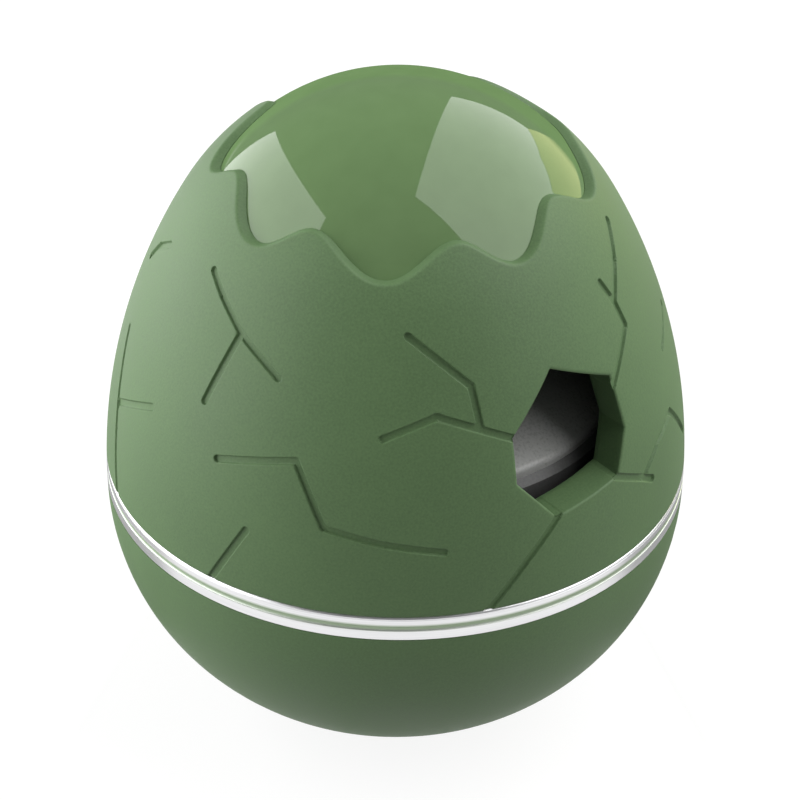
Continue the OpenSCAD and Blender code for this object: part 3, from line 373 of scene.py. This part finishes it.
def skin(turn, along, deep=0.0):
    side = along <= SIDE_LEN
    tilt = np.where(side, along / SIDE_R, SIDE_TILT + (along - SIDE_LEN) / TOP_R)
    arc = np.where(side, SIDE_R, TOP_R) - deep
    radius = np.where(side, EGG_R - SIDE_R, 0) + arc * np.cos(tilt)
    rise = np.where(side, 0, TOP_C) + arc * np.sin(tilt)
    return np.stack([radius * np.sin(turn), -radius * np.cos(turn), EQ_Z + rise], -1)


def outward(turn, along):
    return skin(turn, along) - skin(turn, along, 1.0)


def unroll(points):
    radius, rise = np.hypot(points[..., 0], points[..., 1]), points[..., 2] - EQ_Z
    side = np.arctan2(rise, radius + SIDE_R - EGG_R)
    top = np.arctan2(rise - TOP_C, radius)
    along = np.where(side <= SIDE_TILT, SIDE_R * side, SIDE_LEN + TOP_R * (top - SIDE_TILT))
    return np.arctan2(points[..., 0], -points[..., 1]), along


def to_skin(points):
    return skin(*unroll(points))


def edge_along(turn):
    degrees = np.degrees(turn)
    degrees = np.where(degrees < CROWN_EDGE[0][0], degrees + 360, degrees)
    angles, rises = np.array(CROWN_EDGE).T
    i = np.clip(np.searchsorted(angles, degrees, "right") - 1, 0, len(angles) - 2)
    share = (degrees - angles[i]) / (angles[i + 1] - angles[i])
    return along_at(rises[i] + (rises[i + 1] - rises[i]) * (1 - np.cos(np.pi * share)) / 2)


edge_turn = np.linspace(-np.pi, np.pi, 6001)
edge = skin(edge_turn, edge_along(edge_turn))
crownwards = np.cross(outward(edge_turn, edge_along(edge_turn)), np.gradient(edge, axis=0))
crownwards /= np.linalg.norm(crownwards, axis=1)[:, None]
foot_turn, foot_along = unroll(edge + crownwards * LIP_OVER)


def wave_along(turn):
    return np.interp(turn, foot_turn, foot_along, period=2 * np.pi)


def lip_foot(along):
    tilt = SIDE_TILT + (along - SIDE_LEN) / TOP_R
    up = CROWN_C - TOP_C
    seat = TOP_R - up * np.sin(tilt) - np.sqrt(CROWN_R ** 2 - (up * np.cos(tilt)) ** 2)
    return np.minimum(seat, CROWN_SEAT)


def spaced(a, b, step):
    count = max(1, int(math.ceil(np.linalg.norm(b - a) / step)))
    return a + (b - a) * np.arange(count)[:, None] / count


def tree_of(points):
    tree = kdtree.KDTree(len(points))
    for i, p in enumerate(points):
        tree.insert(p, i)
    tree.balance()
    return tree


def gap_to(tree, points):
    return np.array([tree.find(p)[2] for p in points])


corners = HOLE_R * np.array([(share * math.cos(math.radians(a)), share * math.sin(math.radians(a)))
                             for a, share in HOLE_CORNERS])


def in_hole(points, grow=1.0):
    inside = np.ones(len(points), bool)
    flat = np.stack([points[:, 0], points[:, 2] - EQ_Z - HOLE_RISE], -1)
    for a, b in zip(corners * grow, np.roll(corners, -1, 0) * grow):
        inside &= (b[0] - a[0]) * (flat[:, 1] - a[1]) - (b[1] - a[1]) * (flat[:, 0] - a[0]) < 0
    return inside & (points[:, 1] < 0)


def through_wall(flat, deep=0.0):
    rise = flat[:, 1] + HOLE_RISE
    radius = EGG_R - SIDE_R + np.sqrt((SIDE_R - deep) ** 2 - rise ** 2)
    return np.stack([flat[:, 0], -np.sqrt(radius ** 2 - flat[:, 0] ** 2), EQ_Z + rise], -1)


# Lines that the mesh keeps to: middles of the cracks, wavy edge, hole edge and mouth
crack_paths = [skin(np.radians([a for a, r in path]), along_at([r for a, r in path])) for path in CRACKS]
crack_line = np.concatenate(
    [to_skin(spaced(a, b, 0.04)) for path in crack_paths for a, b in zip(path[:-1], path[1:])]
    + [path[-1:] for path in crack_paths])
cracks_tree = tree_of(crack_line)
wave_turn = np.linspace(-np.pi, np.pi, 721)
wave_line = skin(wave_turn, wave_along(wave_turn))
wave_tree = tree_of(skin(edge_turn, wave_along(edge_turn)))
hole_flat = np.concatenate([spaced(a, b, 0.14) for a, b in zip(corners, np.roll(corners, -1, 0))])
hole_line = through_wall(hole_flat)
hole_tree = tree_of(through_wall(np.concatenate(
    [spaced(a, b, 0.02) for a, b in zip(corners, np.roll(corners, -1, 0))])))
mouth_along = float(along_at(MOUTH_RISE))
mouth_turn = np.linspace(-np.pi, np.pi, 1801)
near_crack = gap_to(cracks_tree, skin(mouth_turn, np.full(1801, mouth_along)))
mouth_turn = mouth_turn[(near_crack < 1.3) | (np.arange(1801) % 6 == 0)]


def square_to(line):
    beside = np.cross(outward(*unroll(line)), np.gradient(line, axis=0))
    return beside / np.linalg.norm(beside, axis=1)[:, None]


# Rows of points beside those lines, then a plain spread over the rest of the skin
rows = []
for path in crack_paths:
    line = np.concatenate([spaced(a, b, 0.45) for a, b in zip(path[:-1], path[1:])] + [path[-1:]])
    line = to_skin(line)
    beside = square_to(line)
    for level in CRACK_ROWS:
        found = [line + beside * level, line - beside * level]
        for knee in path:
            out = outward(*unroll(knee[None]))[0]
            east = np.cross((0, 0, 1), out)
            east /= np.linalg.norm(east)
            north = np.cross(out, east)
            spin = np.arange(0, 2 * np.pi, min(0.5, 0.16 / max(level, 0.2)))[:, None]
            found.append(knee + level * (np.cos(spin) * east + np.sin(spin) * north))
        found = to_skin(np.concatenate(found if level else found[:1]))
        rows.append(found[gap_to(cracks_tree, found) > level - ON_LINE])
beside = square_to(wave_line)
for level in LIP_ROWS:
    found = to_skin(wave_line - beside * level)
    rows.append(found[gap_to(wave_tree, found) > level - ON_LINE])
for level in HOLE_ROWS:
    rows.append(through_wall(hole_flat * (1 + level / HOLE_R * HOLE_SPREAD)))
for level in MOUTH_ROWS:
    rows.append(skin(mouth_turn[1:-1], np.full(len(mouth_turn) - 2, mouth_along + level)))
for k, along in enumerate(np.arange(mouth_along + 1.0, SKIN_TOP, SKIN_STEP * 0.866)):
    count = int(2 * np.pi * np.hypot(*skin(0.0, along)[:2]) / SKIN_STEP)
    turn = -np.pi + 2 * np.pi * (np.arange(1, count) + 0.5 * (k % 2)) / count
    spread = skin(turn, np.full(len(turn), along))
    clear = (gap_to(cracks_tree, spread) > CRACK_CLEAR) & (gap_to(wave_tree, spread) > LIP_CLEAR)
    rows.append(spread[clear & (gap_to(hole_tree, spread) > HOLE_CLEAR)])
inner = np.concatenate(rows)
turn, along = unroll(inner)
kept = (along > mouth_along + 0.05) & (along < wave_along(turn) - 0.04) & ~in_hole(inner)
kept &= gap_to(hole_tree, inner) > 0.04
turn, along = turn[kept], along[kept]
cell = np.round(np.stack([turn * FLAT_R, along], -1) / SAME_POINT)
_, first = np.unique(cell, axis=0, return_index=True)
turn, along = turn[first], along[first]

# Edges of the sheet, which the triangles may not cross
seam_along = np.linspace(mouth_along, float(wave_along(np.array(np.pi))), 46)[1:-1]
hole_turn, hole_along = unroll(hole_line)
outlines = [
    (wave_turn, wave_along(wave_turn), False),
    (mouth_turn, np.full(len(mouth_turn), mouth_along), False),
    (np.full(len(seam_along), -np.pi), seam_along, False),
    (np.full(len(seam_along), np.pi), seam_along, False),
    (hole_turn, hole_along, True),
]
flat_points, flat_edges = [np.stack([turn * FLAT_R, along], -1)], []
start = len(turn)
for line_turn, line_along, closed in outlines:
    count = len(line_turn)
    flat_points.append(np.stack([line_turn * FLAT_R, line_along], -1))
    steps = count if closed else count - 1
    flat_edges += [(start + i, start + (i + 1) % count) for i in range(steps)]
    start += count
flat_points = [Vector(p) for p in np.concatenate(flat_points)]
sheet = geometry.delaunay_2d_cdt(flat_points, flat_edges, [], 0, 1e-5)
flat = np.array([tuple(p) for p in sheet[0]])
turn, along = np.clip(flat[:, 0] / FLAT_R, -np.pi, np.pi), flat[:, 1]
faces = np.array([f for f in sheet[2] if len(f) == 3])
middle_turn, middle_along = turn[faces].mean(1), along[faces].mean(1)
kept = (middle_along > mouth_along) & (middle_along < wave_along(middle_turn))
kept &= ~in_hole(skin(middle_turn, middle_along))
faces = faces[kept]
on_skin = skin(turn, along)
to_wave, to_hole = gap_to(wave_tree, on_skin), gap_to(hole_tree, on_skin)
deep = np.maximum.reduce([
    np.interp(gap_to(cracks_tree, on_skin), *GROOVE), np.interp(to_wave, *LIP) * lip_foot(along),
    np.interp(to_hole, *HOLE_EDGE), np.interp(along - mouth_along, *MOUTH_EDGE)])
points = list(skin(turn, along, deep))
polygons = [tuple(int(i) for i in f) for f in faces]

# Walls hung on the sheet's free edges: the lip's wall, the hole's tunnel and collar, the mouth's face
owners = {}
for f in polygons:
    for a, b in zip(f, f[1:] + f[:1]):
        owners[(a, b)] = f
free = [(a, b) for a, b in owners if (b, a) not in owners]


def hang(edges, rows_of):
    below = {}
    for v in {v for e in edges for v in e}:
        below[v] = [v]
        for p in rows_of(v):
            below[v].append(len(points))
            points.append(p)
    for a, b in edges:
        for k in range(len(below[a]) - 1):
            polygons.append((below[b][k], below[a][k], below[a][k + 1], below[b][k + 1]))


def lip_wall(v):
    out = outward(turn[v], along[v])
    drop = (lip_foot(along[v]) + 0.1 - deep[v]) / out[2]
    return [points[v] - np.array((0, 0, drop)) * share for share in (0.1, 0.5, 1.0)]


def tunnel_wall(v):
    flat_v = np.array([[points[v][0], points[v][2] - EQ_Z - HOLE_RISE]])
    wide = flat_v * (HOLE_R + HOLE_WALL) / HOLE_R
    inner_rows = [through_wall(flat_v, d)[0] for d in TUNNEL_ROWS]
    collar = [through_wall(flat_v * 1.02, HOLE_DEPTH)[0], through_wall(wide * 0.985, HOLE_DEPTH)[0],
              through_wall(wide, HOLE_DEPTH - 0.2)[0], through_wall(wide, SHELL_WALL - 0.2)[0]]
    return inner_rows + collar


def mouth_face(v):
    ring = np.array((math.sin(turn[v]), -math.cos(turn[v]), 0))
    mouth_z = EQ_Z + MOUTH_RISE
    return [ring * (BORE_R + 0.2) + (0, 0, mouth_z), ring * BORE_R + (0, 0, mouth_z + 0.2)]


hang([e for e in free if max(to_wave[e[0]], to_wave[e[1]]) < ON_LINE], lip_wall)
hang([e for e in free if max(to_hole[e[0]], to_hole[e[1]]) < ON_LINE], tunnel_wall)
hang([e for e in free if max(along[e[0]], along[e[1]]) < mouth_along + 0.01], mouth_face)

# Inside of the shell: a straight bore for the spigot, then the wall's inner skin up to the crown's rim
profile = [(BORE_R, MOUTH_RISE + 0.2), (BORE_R, BORE_TOP)]
for rise in np.linspace(BORE_TOP, THIN_RISE, INNER_ROWS):
    p = skin(0.0, float(along_at(rise + INNER_LAG)), SHELL_WALL)
    profile.append((-p[1], max(p[2] - EQ_Z, BORE_TOP)))
for rise in np.linspace(THIN_RISE, THIN_TOP, THIN_ROWS):
    p = skin(0.0, float(along_at(rise + INNER_LAG)), THIN_WALL)
    profile.append((-p[1], p[2] - EQ_Z))
first_inner = len(points)
for radius, rise in profile:
    for s in range(INNER_SEGMENTS):
        angle = 2 * math.pi * s / INNER_SEGMENTS
        points.append(np.array((radius * math.sin(angle), -radius * math.cos(angle), EQ_Z + rise)))
around = np.array(points[first_inner:])
hidden = in_hole(around, (HOLE_R + HOLE_WALL * 0.5) / HOLE_R)
for k in range(len(profile) - 1):
    row, next_row = k * INNER_SEGMENTS, (k + 1) * INNER_SEGMENTS
    for s in range(INNER_SEGMENTS):
        t = (s + 1) % INNER_SEGMENTS
        quad = (row + s, next_row + s, next_row + t, row + t)
        if not all(hidden[i] for i in quad):
            polygons.append(tuple(first_inner + i for i in quad))

shell_mesh = bpy.data.meshes.new("cracked_shell")
shell_mesh.from_pydata([tuple(p * MM) for p in np.array(points)], [], polygons)
shell_mesh.update()
shell_mesh.polygons.foreach_set("use_smooth", [True] * len(shell_mesh.polygons))
cracked_shell = bpy.data.objects.new("cracked_shell", shell_mesh)
bpy.context.scene.collection.objects.link(cracked_shell)
bpy.context.view_layer.objects.active = cracked_shell
weld = cracked_shell.modifiers.new("seam weld", "WELD")
weld.merge_threshold = WELD_GAP
shell_mesh.set_sharp_from_angle(angle=SHARP_TURN)
shell_mesh.materials.append(matte_green)
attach(cracked_shell, "lid")
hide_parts("upper_shell")

# Crown cap: the glossy green crown that closes the shell from inside, a step below the wavy lip.
# Same plastic, but from a polished mould, so it mirrors the lamps with sharp edges.
CROWN_PALE = (0.145, 0.242, 0.100)
CROWN_DEEP = (0.134, 0.226, 0.092)
GLOSS_END, GLOSS_GONE = 0.66, 0.72
gloss_green = new_finish("gloss green", moulded_grain, {"Grain": 260.0, "Cloud": 40.0},
                         CROWN_PALE, CROWN_DEEP, (0.45, 0.55), (0.03, 0.00004))
tree = gloss_green.node_tree
polish = shader_of(gloss_green)
polish.inputs["Specular IOR Level"].default_value = 0.0
polish.inputs["Coat Roughness"].default_value = 0.03
polish.inputs["Coat IOR"].default_value = 1.5
facing = tree.nodes.new("ShaderNodeLayerWeight")
facing.inputs["Blend"].default_value = 0.5
sheer = graded(tree, facing.outputs["Facing"], GLOSS_END, GLOSS_GONE, 1.0, 0.0)
tree.links.new(sheer, polish.inputs["Coat Weight"])
dress(gloss_green, "crown_cap")

# Studio: a pale floor that stays white to the camera and keeps a faint shadow, a soft grey room, two
# large softboxes, left and right, whose corners show in the crown, a warm card low at the right, and
# two grey cards flat on the floor that darken the ends of the ring.
FLOOR_HALF, SHADOW_REACH, WHITE_REACH = 15.0, 0.20, 0.60
PAPER_TONE, PAPER_GLOW = (0.17, 0.01), (0.88, 0.99)
floor_mesh = bpy.data.meshes.new("studio_floor")
floor_corners = [(x * FLOOR_HALF, y * FLOOR_HALF, 0) for x, y in ((-1, -1), (1, -1), (1, 1), (-1, 1))]
floor_mesh.from_pydata(floor_corners, [], [(0, 1, 2, 3)])
studio_floor = bpy.data.objects.new("studio_floor", floor_mesh)
bpy.context.scene.collection.objects.link(studio_floor)
paper = bpy.data.materials.new("white paper")
paper.use_nodes = True
tree = paper.node_tree
sheet_shader = shader_of(paper)
distance = tree.nodes.new("ShaderNodeVectorMath")
distance.operation = "LENGTH"
tree.links.new(tree.nodes.new("ShaderNodeTexCoord").outputs["Object"], distance.inputs[0])
paper_tone = graded(tree, distance.outputs["Value"], SHADOW_REACH, WHITE_REACH, *PAPER_TONE)
paper_glow = graded(tree, distance.outputs["Value"], SHADOW_REACH, WHITE_REACH, *PAPER_GLOW)
tree.links.new(paper_tone, sheet_shader.inputs["Base Color"])
sheet_shader.inputs["Roughness"].default_value = 0.9
sheet_shader.inputs["Specular IOR Level"].default_value = 0.0
rays = tree.nodes.new("ShaderNodeLightPath")
seen = tree.nodes.new("ShaderNodeMath")
seen.operation = "ADD"
seen.use_clamp = True
tree.links.new(rays.outputs["Is Camera Ray"], seen.inputs[0])
shown = tree.nodes.new("ShaderNodeMath")
shown.operation = "ADD"
shown.use_clamp = True
tree.links.new(rays.outputs["Is Glossy Ray"], shown.inputs[0])
tree.links.new(rays.outputs["Is Transmission Ray"], shown.inputs[1])
tree.links.new(shown.outputs[0], seen.inputs[1])
glow = tree.nodes.new("ShaderNodeEmission")
tree.links.new(paper_glow, glow.inputs["Color"])
tree.links.new(seen.outputs[0], glow.inputs["Strength"])
both = tree.nodes.new("ShaderNodeAddShader")
tree.links.new(sheet_shader.outputs[0], both.inputs[0])
tree.links.new(glow.outputs[0], both.inputs[1])
tree.links.new(both.outputs[0], tree.nodes["Material Output"].inputs["Surface"])
floor_mesh.materials.append(paper)

ROOM_COLOUR, ROOM_STRENGTH = (0.98, 0.99, 1.0, 1), 0.18
room = bpy.data.worlds.new("studio room")
room.use_nodes = True
room_light = room.node_tree.nodes["Background"]
room_light.inputs["Color"].default_value = ROOM_COLOUR
room_light.inputs["Strength"].default_value = ROOM_STRENGTH
bpy.context.scene.world = room


SOFTBOX_A, SOFTBOX_B = Vector((0.026, 0.574, 0.279)), Vector((-0.312, 0.069, 0.489))
SOFTBOX_HANG, SOFTBOX_DEPTH, SOFTBOX_RADIANCE = Vector((-0.176, -0.292, -0.94)), 0.45, 2.9
EGG_MIDDLE = Vector((0, 0, 0.06))
box_side = (SOFTBOX_B - SOFTBOX_A).normalized()
box_hang = SOFTBOX_HANG.normalized()
box_hang = (box_hang - box_side * box_hang.dot(box_side)).normalized()
box_middle = (SOFTBOX_A + SOFTBOX_B) / 2 + box_hang * SOFTBOX_DEPTH / 2
box_back = box_side.cross(box_hang)
if box_back.dot(box_middle - EGG_MIDDLE) < 0:
    box_hang, box_back = -box_hang, -box_back
lamp = bpy.data.lights.new("left softbox", "AREA")
lamp.shape = "RECTANGLE"
lamp.size, lamp.size_y = (SOFTBOX_B - SOFTBOX_A).length, SOFTBOX_DEPTH
lamp.energy = SOFTBOX_RADIANCE * math.pi * lamp.size * lamp.size_y
left_softbox = bpy.data.objects.new("left softbox", lamp)
left_softbox.matrix_world = Matrix((
    (box_side.x, box_hang.x, box_back.x, box_middle.x),
    (box_side.y, box_hang.y, box_back.y, box_middle.y),
    (box_side.z, box_hang.z, box_back.z, box_middle.z), (0, 0, 0, 1)))
bpy.context.scene.collection.objects.link(left_softbox)


def lit_card(name, corners, colour):
    card_mesh = bpy.data.meshes.new(name)
    card_mesh.from_pydata(corners, [], [tuple(range(len(corners)))])
    card = bpy.data.objects.new(name, card_mesh)
    card.visible_camera = False
    card.visible_shadow = False
    bpy.context.scene.collection.objects.link(card)
    cloth = bpy.data.materials.new(name)
    cloth.use_nodes = True
    lit = shader_of(cloth)
    lit.inputs["Base Color"].default_value = (0, 0, 0, 1)
    lit.inputs["Specular IOR Level"].default_value = 0.0
    lit.inputs["Emission Color"].default_value = (*colour, 1)
    lit.inputs["Emission Strength"].default_value = 1.0
    card_mesh.materials.append(cloth)


lit_card("right softbox", [
    (1.044, 0.821, 0.750), (1.250, 0.509, 0.395), (0.760, 0.096, 0.361), (0.604, -0.089, 0.309),
    (0.668, -0.150, 0.226), (0.159, -0.607, 0.169), (-0.021, -0.135, 0.630),
], (2.65, 2.65, 2.65))
lit_card("warm card", [
    (0.574, -0.086, 0.295), (0.565, 0.067, 0.289), (0.556, 0.217, 0.225), (0.554, 0.247, 0.075),
    (0.555, 0.220, 0.035), (0.574, -0.086, 0.035),
], (1.8, 1.8, 0.88))

CARD_RISE, CARD_FRONT, CARD_NEAR, CARD_BEHIND = 0.0008, -0.02, 0.048, (0.03, 0.045)
AWAY, ACROSS = Vector((0.616, 0.788, 0)), Vector((0.788, -0.616, 0))
for name, side, reach, grey in (("left grey card", -1, 0.10, 0.36), ("right grey card", 1, 0.22, 0.42)):
    marks = ((CARD_NEAR, CARD_FRONT), (reach, CARD_FRONT), (reach, reach),
             (CARD_BEHIND[0], reach), CARD_BEHIND)
    card_corners = [ACROSS * side * mark + AWAY * back + Vector((0, 0, CARD_RISE)) for mark, back in marks]
    lit_card(name, card_corners, (grey, grey, grey))

CAMERA_AT = Vector((-0.17306, -0.2215, 0.23606))
CAMERA_AIM = Vector((0.000425, -0.000332, 0.04867))
CAMERA_ROLL = math.radians(1.03)
look = (CAMERA_AIM - CAMERA_AT).normalized()
level = look.cross(Vector((0, 0, 1))).normalized()
upright = level.cross(look)
top = upright * math.cos(CAMERA_ROLL) - level * math.sin(CAMERA_ROLL)
right = look.cross(top)
lens = bpy.data.cameras.new("camera")
lens.sensor_width = 36.0
lens.lens = 102.91
lens.clip_start = 0.01
camera = bpy.data.objects.new("camera", lens)
camera.matrix_world = Matrix((
    (right.x, top.x, -look.x, CAMERA_AT.x), (right.y, top.y, -look.y, CAMERA_AT.y),
    (right.z, top.z, -look.z, CAMERA_AT.z), (0, 0, 0, 1)))
bpy.context.scene.collection.objects.link(camera)
bpy.context.scene.camera = camera
bpy.context.scene.view_settings.view_transform = "Standard"
